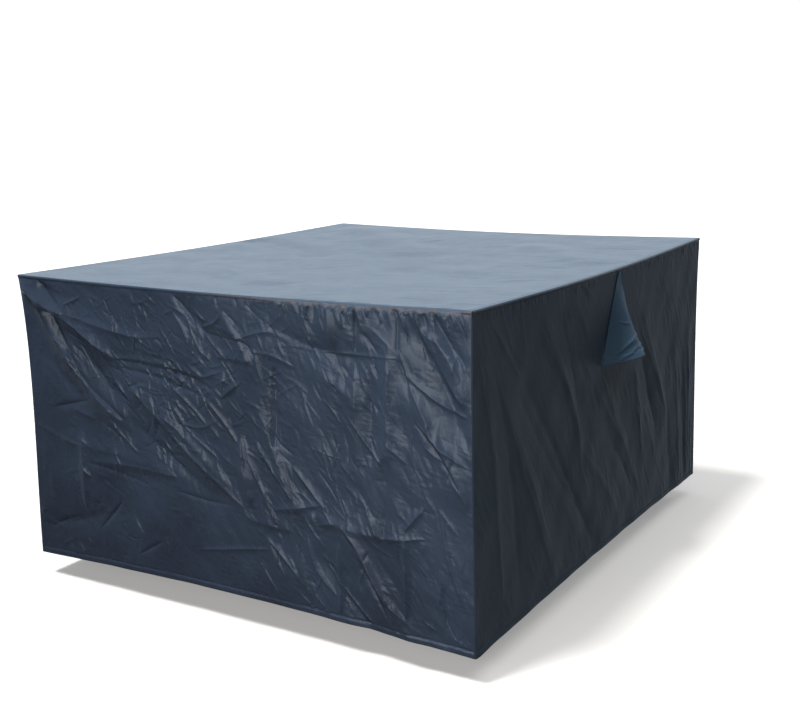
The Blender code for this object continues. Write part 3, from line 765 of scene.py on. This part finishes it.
# ---------------- materials
WEAVE_PITCH = 0.0009
WEAVE_RISE = 0.00008
# The painted highlight along the seam under the top: how far down it reaches and how soft its lower
# edge is.
SEAM_HIGHLIGHT_DEPTH = 0.012
SEAM_HIGHLIGHT_SOFTNESS = 0.004
SEAM_HIGHLIGHT_BEGIN = 0.4  # over how much of the panel's length the painted highlight band sets in
SHADE_LIMITS = (0.36, 0.66)  # where the colour starts and ends between its two shades
GLOSS_LESS = 0.05  # how much rougher the coating is in places
GLOSS_MORE = 0.04  # and how much smoother in others
PATCHES_FROM = 0.62  # a layer's facets show where its patches are above this, less for more cover
PATCHES_TO = 0.74
PATCHES_COVER = 0.30

# A layer of crumpled facets: the way its creases run (degrees), how long its facets are for their
# width, their width in metres, how steep they stand, and the share of the cloth they cover.
Facets = namedtuple("Facets", "angle stretch width slope cover")

# A cloth: its darker and lighter shade, how strongly its shades mottle, its roughness and
# refraction, its layers of facets, the painted light that makes it lighter per metre along and up
# the panel, and the painted highlight along the seam under the top, and from where on it shows.
Cloth = namedtuple(
    "Cloth", "name base light mottle roughness ior layers fade worn worn_from",
    defaults=((0.0, 0.0), None, 0.0),
)


def new_material(name):
    """An empty material with its node tree and its principled shader."""
    material = bpy.data.materials.new(name)
    material.use_nodes = True
    return material, material.node_tree, material.node_tree.nodes["Principled BSDF"]


def add_node(tree, kind, inputs, **settings):
    """A shader node with its settings, each input linked to a socket or set to a value."""
    node = tree.nodes.new("ShaderNode" + kind)
    for name, value in settings.items():
        setattr(node, name, value)
    for slot, value in inputs.items():
        if isinstance(value, bpy.types.NodeSocket):
            tree.links.new(value, node.inputs[slot])
        else:
            node.inputs[slot].default_value = value
    return node


def calculate(tree, operation, *values):
    """The result of a Math node on sockets or numbers."""
    return add_node(tree, "Math", dict(enumerate(values)), operation=operation).outputs[0]


def noise(tree, vector, scale, detail, roughness=0.5):
    """A cloudy pattern, of finer clouds at a greater scale."""
    slots = {"Vector": vector, "Scale": scale, "Detail": detail, "Roughness": roughness}
    return add_node(tree, "TexNoise", slots)


def map_range(tree, value, start, end, low=0.0, high=1.0, **settings):
    """From low to high as a value goes from start to end."""
    slots = {"Value": value, "From Min": start, "From Max": end, "To Min": low, "To Max": high}
    return add_node(tree, "MapRange", slots, **settings).outputs["Result"]


def mix_colours(tree, share, first, second):
    """A share of the way from one colour to another."""
    return add_node(tree, "Mix", {0: share, 6: first, 7: second}, data_type="RGBA").outputs[2]


def crumpled_facets(tree, plan, layer):
    """The height of one layer of creased facets: roofs between straight edges, in patches."""
    size = layer.width
    warp = noise(tree, plan, scale=0.15 / size, detail=0.0).outputs["Color"]
    bend = {0: warp, 1: (size, size, 0.0), 2: plan}
    bent = add_node(tree, "VectorMath", bend, operation="MULTIPLY_ADD").outputs["Vector"]
    turn = {"Vector": bent, "Angle": math.radians(-layer.angle)}
    turned = add_node(tree, "VectorRotate", turn, rotation_type="Z_AXIS").outputs["Vector"]
    squeeze = {0: turned, 1: (1.0 / (size * layer.stretch), 1.0 / size, 0.0)}
    scaled = add_node(tree, "VectorMath", squeeze, operation="MULTIPLY").outputs["Vector"]
    cells = add_node(
        tree, "TexVoronoi", {"Vector": scaled, "Scale": 1.0},
        voronoi_dimensions="2D", feature="DISTANCE_TO_EDGE",
    )
    patches = noise(tree, turned, scale=0.22 / size, detail=1.0).outputs["Fac"]
    less = PATCHES_COVER * layer.cover
    present = map_range(tree, patches, PATCHES_FROM - less, PATCHES_TO - less)
    roof = calculate(tree, "MULTIPLY", cells.outputs["Distance"], size * layer.slope)
    return calculate(tree, "MULTIPLY", roof, present)


def painted_seam_highlight(tree, x, y, colour, cloth):
    """The cloth's colour with a painted highlight along the seam under the top, where its rounded
    edge faces up, from a place along the wall on.
    """
    slots = {"W": x, "Scale": 45.0, "Detail": 2.0}
    jagged = add_node(tree, "TexNoise", slots, noise_dimensions="1D").outputs["Fac"]
    reach = calculate(tree, "MULTIPLY", jagged, SEAM_HIGHLIGHT_DEPTH * 2.0)
    over = calculate(tree, "SUBTRACT", reach, calculate(tree, "SUBTRACT", HEIGHT, y))
    share = map_range(tree, over, -SEAM_HIGHLIGHT_SOFTNESS, SEAM_HIGHLIGHT_SOFTNESS)
    begin = map_range(tree, x, cloth.worn_from, cloth.worn_from + SEAM_HIGHLIGHT_BEGIN)
    return mix_colours(tree, calculate(tree, "MULTIPLY", share, begin), colour, (*cloth.worn, 1.0))


def coated_cloth(cloth):
    """Woven polyester with a thin coating: a fine weave, small crinkles and uneven sheen."""
    material, tree, shader = new_material(cloth.name)
    plan = add_node(tree, "UVMap", {}, uv_map="Cloth plan").outputs["UV"]
    parts = add_node(tree, "SeparateXYZ", {"Vector": plan})
    x, y = parts.outputs["X"], parts.outputs["Y"]
    place = add_node(tree, "TexCoord", {}).outputs["Object"]

    # Colour: two near shades in soft patches, and painted light that makes it lighter along and up
    # the panel.
    patches = noise(tree, place, scale=5.0, detail=4.0).outputs["Fac"]
    # Painted light: the colour gets lighter to the right and upwards, where more light falls.
    along = calculate(tree, "MULTIPLY", x, cloth.fade[0])
    up = calculate(tree, "MULTIPLY", y, cloth.fade[1])
    shade = calculate(tree, "MULTIPLY", patches, cloth.mottle)
    shade = calculate(tree, "ADD", shade, calculate(tree, "ADD", along, up))
    middle = (cloth.fade[0] * WIDTH + cloth.fade[1] * HEIGHT + cloth.mottle) / 2 - 0.5
    shades = add_node(tree, "ValToRGB", {"Fac": calculate(tree, "SUBTRACT", shade, middle)})
    stops = zip(shades.color_ramp.elements, SHADE_LIMITS, (cloth.base, cloth.light))
    for stop, position, stop_colour in stops:
        stop.position = position
        stop.color = (*stop_colour, 1.0)
    colour = shades.outputs["Color"]
    # A painted highlight along the seam under the top.
    if cloth.worn:
        colour = painted_seam_highlight(tree, x, y, colour, cloth)
    tree.links.new(colour, shader.inputs["Base Color"])

    # Gloss: the coating is a little uneven.
    gloss = noise(tree, place, scale=22.0, detail=5.0).outputs["Fac"]
    limits = (cloth.roughness - GLOSS_MORE, cloth.roughness + GLOSS_LESS)
    tree.links.new(map_range(tree, gloss, 0.0, 1.0, *limits), shader.inputs["Roughness"])
    shader.inputs["IOR"].default_value = cloth.ior

    # Relief: crumpled facets in layers, then small unevenness, then the weave.
    height = crumpled_facets(tree, plan, cloth.layers[0])
    for layer in cloth.layers[1:]:
        height = calculate(tree, "ADD", height, crumpled_facets(tree, plan, layer))
    normal = add_node(tree, "Bump", {"Height": height, "Distance": 1.0}).outputs["Normal"]

    small = noise(tree, place, scale=75.0, detail=4.0, roughness=0.6).outputs["Fac"]
    slots = {"Height": small, "Strength": 0.2, "Distance": 0.0010, "Normal": normal}
    normal = add_node(tree, "Bump", slots).outputs["Normal"]

    turns = 2.0 * math.pi / WEAVE_PITCH
    threads = [calculate(tree, "SINE", calculate(tree, "MULTIPLY", way, turns)) for way in (x, y)]
    weave = calculate(tree, "MULTIPLY", *threads)
    slots = {"Height": weave, "Strength": 0.25, "Distance": WEAVE_RISE, "Normal": normal}
    normal = add_node(tree, "Bump", slots).outputs["Normal"]
    tree.links.new(normal, shader.inputs["Normal"])
    return material


WALL_CLOTH = coated_cloth(Cloth(
    name="Wall cloth", base=(0.0032, 0.0044, 0.0070), light=(0.0054, 0.0082, 0.0132),
    mottle=0.35, roughness=0.27, ior=1.18,
    layers=[
        Facets(-48, 2.6, 0.055, 0.07, 0.7),
        Facets(-68, 3.0, 0.024, 0.07, 0.7),
        Facets(-15, 2.5, 0.018, 0.06, 0.6),
        Facets(86, 4.0, 0.045, 0.05, 0.7),
    ],
    # A painted highlight along the seam under the top.
    # Painted light: lighter along and up the panel.
    fade=(0.08, 0.24), worn=(0.0138, 0.0145, 0.0172), worn_from=0.60,
))
# Painted light: the same cloth as the front, with paler shades and far less sheen, toned for how
# the side walls are lit.
SIDE_CLOTH = coated_cloth(Cloth(
    name="Side cloth", base=(0.0052, 0.0073, 0.0100), light=(0.0065, 0.0087, 0.0115),
    mottle=1.0, roughness=0.38, ior=1.06,
    layers=[Facets(-60, 4.0, 0.030, 0.042, 0.6), Facets(-80, 3.0, 0.012, 0.06, 0.5)],
    # A painted highlight along the seam under the top.
    worn=(0.0130, 0.0150, 0.0180), worn_from=0.30,
))
# Painted light: the same cloth as the walls, with paler shades and more sheen, as the top catches
# the light from above.
TOP_CLOTH = coated_cloth(Cloth(
    name="Top cloth", base=(0.0066, 0.0106, 0.0160), light=(0.0082, 0.0126, 0.0190),
    mottle=0.8, roughness=0.30, ior=1.28,
    layers=[Facets(4, 6.0, 0.030, 0.032, 0.6), Facets(-30, 2.5, 0.016, 0.030, 0.5)],
))
HOOD_CLOTH = coated_cloth(Cloth(
    name="Hood cloth", base=(0.0068, 0.0128, 0.0196), light=(0.0084, 0.0150, 0.0228),
    mottle=1.0, roughness=0.36, ior=1.07,
    layers=[Facets(-20, 2.5, 0.030, 0.03, 0.5)],
))


# ---------------- the cloth pieces
WELT_POWER = 0.8  # how full the welt's round is
WELT_GROOVE_BELOW = 0.0015
TOP_GROOVE = 0.0012  # the stitched line beside the top's side and back edges
TOP_GROOVE_IN = 0.0110
# Each of these is added to a wall's own seed.
WELT_SEED = 5
HEM_SEED = 7
GATHERS_SEED = 60

EDGE = EDGE_IN + SEAM_CLEAR  # where a piece turns in, from its corner
TURN = SEAM_FLANGE * math.sqrt(0.5)
# The turned hem, row by row from the cloth's lower edge: how far behind the wall, and how high.
HEM_BEHIND = np.array((0.0, HEM_TURN / 2, HEM_TURN, HEM_TURN, HEM_TURN))
HEM_HIGH = np.array((0.0, -0.0006, 0.0015, HEM_INSIDE / 2, HEM_INSIDE))
HEM_ROWS = np.arange(1.0 - len(HEM_HIGH), 0.0) * TURN_ROW


def edge_lines(until, count, turned=(EDGE - TURN_ROW,), start=EDGE):
    """Where the fine lines of points lie along an edge: the turned-in ones, then the others."""
    return np.concatenate((turned, np.linspace(start, until, count)))


END_LINES = edge_lines(until=CORNER_RADIUS * 1.6, count=5)
RIM_LINES = edge_lines(until=0.0170, count=10)
TOP_LINES = edge_lines(until=0.0110, count=7)
HEM_LINES = edge_lines(until=0.0260, count=12, turned=HEM_ROWS, start=0.0)


def groove(distance, width):
    """A groove's depth as a share of its full depth, at a distance from its line."""
    return np.exp(-((distance / width) ** 2))


def wall_relief(wall, points, folds, creases, seed):
    """How far a wall stands out at its points: folds, creases, welt and hem."""
    relief = np.zeros(len(points))
    for fold in folds:
        add_fold(relief, points, fold)
    if wall is RIGHT:
        relief *= RIGHT_SOFTNESS
    for crease in creases:
        add_crease(relief, points, crease)
    s, h = points.T
    level = 0.0 * h
    relief += ripples(s, h, seed, size=0.16, rise=0.0010)
    from_end = np.minimum(s, wall.length - s)
    below_top = HEIGHT - h
    gathering = front_gathering(s) if wall is FRONT else level
    calm = sets_in(from_end, after=0.003, over=0.018)
    calm *= sets_in(below_top, after=WELT + (EDGE_IN - WELT) * gathering, over=0.012)
    if wall is RIGHT:
        calm *= 1.0 - hood_calm(s, h)
    relief *= calm

    in_welt = np.clip(below_top / WELT, 0.0, 1.0)
    uneven = 1.0 + ripples(s, level, seed + WELT_SEED, size=0.030, rise=0.35)
    welt = uneven * np.sin(math.pi * in_welt) ** WELT_POWER * (below_top < WELT)
    under_welt = groove(below_top - WELT - WELT_GROOVE_BELOW, width=0.0022)
    relief += (wall.welt_rise * welt - wall.welt_groove * under_welt) * (1.0 - gathering)
    hem_calm = sets_in(from_end, after=0.002, over=0.010)
    puckered = 1.0 + ripples(s, level, seed + HEM_SEED, size=0.045, rise=0.5)
    relief += HEM_RISE * hem_calm * sets_in(HEM_BAND - h, over=0.004)
    relief -= HEM_GROOVE * hem_calm * puckered * groove(h - HEM_BAND, width=0.0026)
    radius = front_radius(s) if wall is FRONT else CORNER_RADIUS
    relief -= rounded_edge(from_end) + rounded_edge(below_top, radius)
    return relief


def all_creases(creases, scatters):
    """A panel's creases from the tables above and its scattered ones."""
    creases = [in_metres(crease) for crease in creases]
    for scatter in scatters:
        creases += scattered(scatter)
    return creases


def wall_cloth(name, node, material, wall, folds, creases, scatters, gathers, seed, step):
    """A wall of the cover, from the seam under the top to its turned hem."""
    creases = all_creases(creases, scatters) + gathered(seed + GATHERS_SEED, gathers)
    end_high = wall.length - END_LINES[::-1]
    plan = panel_points(END_LINES, end_high, HEM_LINES, HEIGHT - TOP_LINES[::-1], creases, step)

    # The ends turn in along the upright seams, the top edge under the top, and the hem up inside.
    flat = np.clip(plan, (EDGE, 0.0), (wall.length - EDGE, HEIGHT - EDGE))
    if wall is FRONT:
        flat[:, 1] -= front_shift(flat[:, 0], HEIGHT - flat[:, 1])
    relief = wall_relief(wall, flat, folds, creases, seed)
    at_start = plan[:, 0] < EDGE - TURN_ROW / 2
    at_end = plan[:, 0] > wall.length - EDGE + TURN_ROW / 2
    at_top = plan[:, 1] > HEIGHT - EDGE + TURN_ROW / 2
    hem_row = np.clip(np.rint(-plan[:, 1] / TURN_ROW), 0, len(HEM_HIGH) - 1).astype(int)
    s = flat[:, 0] + TURN * at_start - TURN * at_end
    h = flat[:, 1] - TURN * at_top + HEM_HIGH[hem_row]
    relief -= TURN * (at_start | at_end) + TURN * at_top + HEM_BEHIND[hem_row]
    cloth_plan = np.stack((s, np.where(hem_row > 0, -h, h)), axis=-1)
    mesh = sheet_mesh(name, plan, wall_places(wall, s, h, relief), cloth_plan)
    piece = make_piece(name, mesh, material)
    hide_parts(node)


def top_cloth():
    """The top, which is sewn to the four walls."""
    creases = all_creases(TOP_CREASES, TOP_SCATTER)
    x_high = WIDTH - RIM_LINES[::-1]
    plan = panel_points(RIM_LINES, x_high, RIM_LINES, DEPTH - RIM_LINES[::-1], creases, TOP_STEP)
    flat = np.clip(plan, EDGE, (WIDTH - EDGE, DEPTH - EDGE))
    relief = np.zeros(len(flat))
    for fold in TOP_FOLDS:
        inside, distance, _, _ = near_path(fold_path(fold), fold.half_width, flat)
        relief[inside] += fold.rise * broad_swell(distance, fold.half_width)
    for crease in creases:
        add_crease(relief, flat, crease)
    flat[:, 1] += front_shift(flat[:, 0], flat[:, 1])
    x, y = flat.T
    side_rim = np.minimum(np.minimum(x, WIDTH - x), DEPTH - y)
    rim = np.minimum(side_rim, y)
    relief *= sets_in(rim, after=0.006, over=0.03)
    relief += ripples(x, y, seed=5, size=0.22, rise=0.0010) * sets_in(rim, over=0.05)
    relief -= TOP_GROOVE * groove(side_rim - TOP_GROOVE_IN, width=0.0020)
    relief -= np.maximum(rounded_edge(side_rim), rounded_edge(y, front_radius(x)))

    inward = np.where(plan < EDGE - TURN_ROW / 2, TURN, 0.0)
    inward -= np.where(plan > np.array((WIDTH, DEPTH)) - EDGE + TURN_ROW / 2, TURN, 0.0)
    flat = flat + inward
    relief -= np.abs(inward).sum(axis=1)
    mesh = sheet_mesh("top_cloth", plan, top_places(flat[:, 0], flat[:, 1], relief), flat)
    piece = make_piece("top_cloth", mesh, TOP_CLOTH)
    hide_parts("top_panel")


HOOD_COLUMNS = 70
HOOD_ROWS = 112
HOOD_CLEAR = 0.0010  # how far the hood lies off the wall at its rims
HOOD_HEM = 0.085  # the share of the hood's height that its hem takes
HOOD_HEM_RISE = 0.0008
HOOD_GROOVE = 0.0010
HOOD_DOUBLE = 0.10  # the share of its half width where its sewn-down rims are doubled
HOOD_DOUBLE_RISE = 0.0010
HOOD_CREASES = [Crease(*row) for row in (
    # Their paths and widths: across is -1 to 1 and up 0 to 1.
    (((-0.84, 0.03), (-0.72, 0.11), (-0.42, 0.18), (0, 0.225), (0.5, 0.26)), 0.02, 0.034, 6.6, 5),
    (((-0.8, 0), (-0.62, 0.05), (-0.2, 0.1), (0, 0.13)), 0.018, 0.03, 4.6, 3.4),
    (((0, 0.1), (0.34, 0.13), (0.76, 0.145)), 0.02, 0.028, 4.4, 4),
    (((-0.1, -0.02), (0.06, 0.04), (0.32, 0.085), (0.7, 0.105)), 0.024, 0.03, 5.2, 4),
    (((0.05, 0.085), (0.3, 0.105), (0.55, 0.115)), 0.014, 0.014, -2.4, -2),
    (((-0.6, 0.44), (-0.15, 0.385), (0.25, 0.41), (0.42, 0.47)), 0.018, 0.026, 3.4, 2.6),
    (((0.42, 0.47), (0.5, 0.56)), 0.02, 0.02, 2, 1.2),
)]


def hood_cloth():
    """The vent hood: flat at its neck, standing open at its mouth, with a hem round the mouth."""
    columns = np.linspace(-1.0, 1.0, HOOD_COLUMNS + 1)
    points = grid_points(columns, np.linspace(0.0, 1.0, HOOD_ROWS + 1))
    relief = np.zeros(len(points))
    for crease in HOOD_CREASES:
        add_crease(relief, points, in_metres(crease, size=1.0))
    across, up = points.T
    from_rim = 1.0 - np.abs(across)
    hem_calm = sets_in(from_rim, over=0.1)
    relief *= sets_in(from_rim, over=0.25)
    relief += HOOD_HEM_RISE * sets_in(HOOD_HEM - up, over=0.02) * hem_calm
    relief -= HOOD_GROOVE * groove(up - HOOD_HEM, width=0.012) * hem_calm
    relief += HOOD_DOUBLE_RISE * sets_in(HOOD_DOUBLE - from_rim, over=0.04)

    crown = 1.0 - across * across
    half = HOOD_MOUTH_HALF + (HOOD_TIP_HALF - HOOD_MOUTH_HALF) * up
    s = HOOD_S + half * across
    h = HOOD_MOUTH_H + (HOOD_TIP_H - HOOD_MOUTH_H) * up + HOOD_MOUTH_ARCH * crown * (1.0 - up)
    opening = np.maximum(0.0, 1.0 - up / HOOD_NECK) ** HOOD_SWEEP
    out = SEAM_GAP + HOOD_CLEAR + HOOD_STAND_OFF * crown * opening + relief
    cloth_plan = np.stack((s, h), axis=-1)
    mesh = sheet_mesh("hood_cloth", points, wall_places(RIGHT, s, h, out), cloth_plan)
    piece = make_piece("hood_cloth", mesh, HOOD_CLOTH)
    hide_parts("vent_hood")


# ---------------- the studio
CAMERA_PLACE = Vector((1.9925, -3.1080, 0.4722))
CAMERA_PITCH = 79.218
CAMERA_ROLL = -0.981
CAMERA_YAW = 30.558
SENSOR_WIDTH = 36.0
FOCAL_PIXELS = 1163.4
IMAGE_WIDTH = 800
IMAGE_HEIGHT = 703
AIM_X = 432.8  # the pixel at which the lens points
AIM_Y = 332.6

FLOOR_Z = HEM_Z - 0.072
FLOOR_HALF = 30.0
FLOOR_COLOUR = (0.104, 0.100, 0.095, 1.0)
FLOOR_ROUGHNESS = 0.9
FLOOR_GLOW = 0.28  # what keeps the floor pale under the cover
WHITE = (1.0, 1.0, 1.0, 1.0)
BACKDROP = (1.05, 1.05, 1.05, 1.0)  # what the camera sees behind the cover
SKY_LIGHT = (0.92, 1.04, 1.16, 1.0)
SKY_SHADE = (0.20, 0.23, 0.27, 1.0)  # the sky in front of the cover and to its left
SHADE_WAY = (-0.30, -0.95, 0.0)
SHADE_STARTS = -0.1
SHADE_IS_FULL = 0.7

# The suns: where each shines from, its colour, its strength and its spread in degrees.
Sun = namedtuple("Sun", "name source colour strength spread")
SUNS = (
    Sun("Key", Vector((-0.208, -0.343, 0.916)), (1.0, 1.0, 1.0), 23.0, 12.0),
    Sun("Fill", Vector((0.0, 0.0, 1.0)), (0.97, 1.0, 1.05), 8.0, 60.0),
    Sun("Side", Vector((0.30, 0.78, 0.55)), (1.0, 1.0, 1.0), 4.6, 14.0),
)

# The flat lamps: where each stands, which way it shines, its size, colour and power, and whether
# the cloth's sheen shows it.
Lamp = namedtuple("Lamp", "name place way size colour power in_sheen")
LAMPS = (
    Lamp(
        "Softbox", Vector((-0.15, -3.60, 0.35)), Vector((0.0, 1.0, 0.0)), (1.4, 2.2),
        (0.94, 0.97, 1.02), 145.0, True,
    ),
    Lamp(
        "Lamp", Vector((1.05, -2.30, -0.30)), Vector((-0.25, 1.0, -0.15)), (0.8, 0.8),
        (1.0, 0.90, 0.79), 64.0, False,
    ),
)


def add_camera():
    """The camera at the photograph's place, with the slight shift that its framing needs."""
    data = bpy.data.cameras.new("Camera")
    data.sensor_width = SENSOR_WIDTH
    data.lens = FOCAL_PIXELS / IMAGE_WIDTH * SENSOR_WIDTH
    data.shift_x = (IMAGE_WIDTH / 2 - AIM_X) / IMAGE_WIDTH
    data.shift_y = (AIM_Y - IMAGE_HEIGHT / 2) / IMAGE_WIDTH
    camera = bpy.data.objects.new("Camera", data)
    turn = Matrix.Rotation(math.radians(CAMERA_YAW), 4, "Z")
    tilt = Matrix.Rotation(math.radians(CAMERA_PITCH), 4, "X")
    roll = Matrix.Rotation(math.radians(CAMERA_ROLL), 4, "Z")
    camera.matrix_world = Matrix.Translation(CAMERA_PLACE) @ turn @ tilt @ roll
    bpy.context.scene.collection.objects.link(camera)
    bpy.context.scene.camera = camera


def add_floor():
    """A plain pale floor, a little below the cover's hem."""
    mesh = bpy.data.meshes.new("Floor")
    ends = (-FLOOR_HALF, FLOOR_HALF)
    corners = [(x, y, FLOOR_Z) for x in ends for y in ends]
    mesh.from_pydata(corners, [], [(0, 2, 3, 1)])
    floor = bpy.data.objects.new("Floor", mesh)
    bpy.context.scene.collection.objects.link(floor)
    material, _, shader = new_material("Pale floor")
    shader.inputs["Base Color"].default_value = FLOOR_COLOUR
    shader.inputs["Roughness"].default_value = FLOOR_ROUGHNESS
    shader.inputs["Specular IOR Level"].default_value = 0.0
    shader.inputs["Emission Color"].default_value = WHITE
    shader.inputs["Emission Strength"].default_value = FLOOR_GLOW
    mesh.materials.append(material)
    floor.visible_glossy = False  # the cloth's sheen comes from the lights alone


def add_sky():
    """A sky that is dimmer in front of the cover, and a white backdrop for the camera."""
    world = bpy.data.worlds.new("Sky")
    world.use_nodes = True
    tree = world.node_tree
    way = add_node(tree, "TexCoord", {}).outputs["Generated"]
    toward = add_node(tree, "VectorMath", {0: way, 1: SHADE_WAY}, operation="DOT_PRODUCT")
    shade = map_range(
        tree, toward.outputs["Value"], SHADE_STARTS, SHADE_IS_FULL, interpolation_type="SMOOTHSTEP"
    )
    sky = mix_colours(tree, shade, SKY_LIGHT, SKY_SHADE)
    seen = add_node(tree, "LightPath", {}).outputs["Is Camera Ray"]
    tree.links.new(mix_colours(tree, seen, sky, BACKDROP), tree.nodes["Background"].inputs["Color"])
    bpy.context.scene.world = world


def add_light(name, kind, way):
    """A light that shines one way."""
    data = bpy.data.lights.new(name, kind)
    light = bpy.data.objects.new(name, data)
    light.rotation_euler = way.to_track_quat("-Z", "Y").to_euler()
    bpy.context.scene.collection.objects.link(light)
    return light, data


def add_suns():
    """Soft lights from far away, which the cloth's sheen doesn't show."""
    for sun in SUNS:
        light, data = add_light(sun.name, "SUN", -sun.source)
        data.color = sun.colour
        data.energy = sun.strength
        data.angle = math.radians(sun.spread)
        light.visible_glossy = False


def add_lamps():
    """Flat lamps near the cover, which the camera doesn't see."""
    for lamp in LAMPS:
        light, data = add_light(lamp.name, "AREA", lamp.way)
        data.shape = "RECTANGLE"
        data.size, data.size_y = lamp.size
        data.color = lamp.colour
        data.energy = lamp.power
        light.location = lamp.place
        light.visible_camera = False
        light.visible_glossy = lamp.in_sheen


add_camera()
top_cloth()
wall_cloth(
    "front_cloth", "front_panel", WALL_CLOTH, FRONT, FRONT_FOLDS,
    FRONT_CREASES, FRONT_SCATTER, FRONT_GATHERS, seed=1, step=WALL_STEP,
)
wall_cloth(
    "right_cloth", "right_panel", SIDE_CLOTH, RIGHT, RIGHT_FOLDS,
    RIGHT_CREASES, RIGHT_SCATTER, RIGHT_GATHERS, seed=2, step=WALL_STEP,
)
wall_cloth(
    "back_cloth", "back_panel", WALL_CLOTH, BACK, BACK_FOLDS,
    BACK_CREASES, BACK_SCATTER, HIDDEN_GATHERS, seed=3, step=HIDDEN_STEP,
)
wall_cloth(
    "left_cloth", "left_panel", SIDE_CLOTH, LEFT, LEFT_FOLDS,
    LEFT_CREASES, LEFT_SCATTER, HIDDEN_GATHERS, seed=4, step=HIDDEN_STEP,
)
hood_cloth()
add_floor()
add_sky()
add_suns()
add_lamps()
bpy.context.scene.view_settings.view_transform = "Standard"
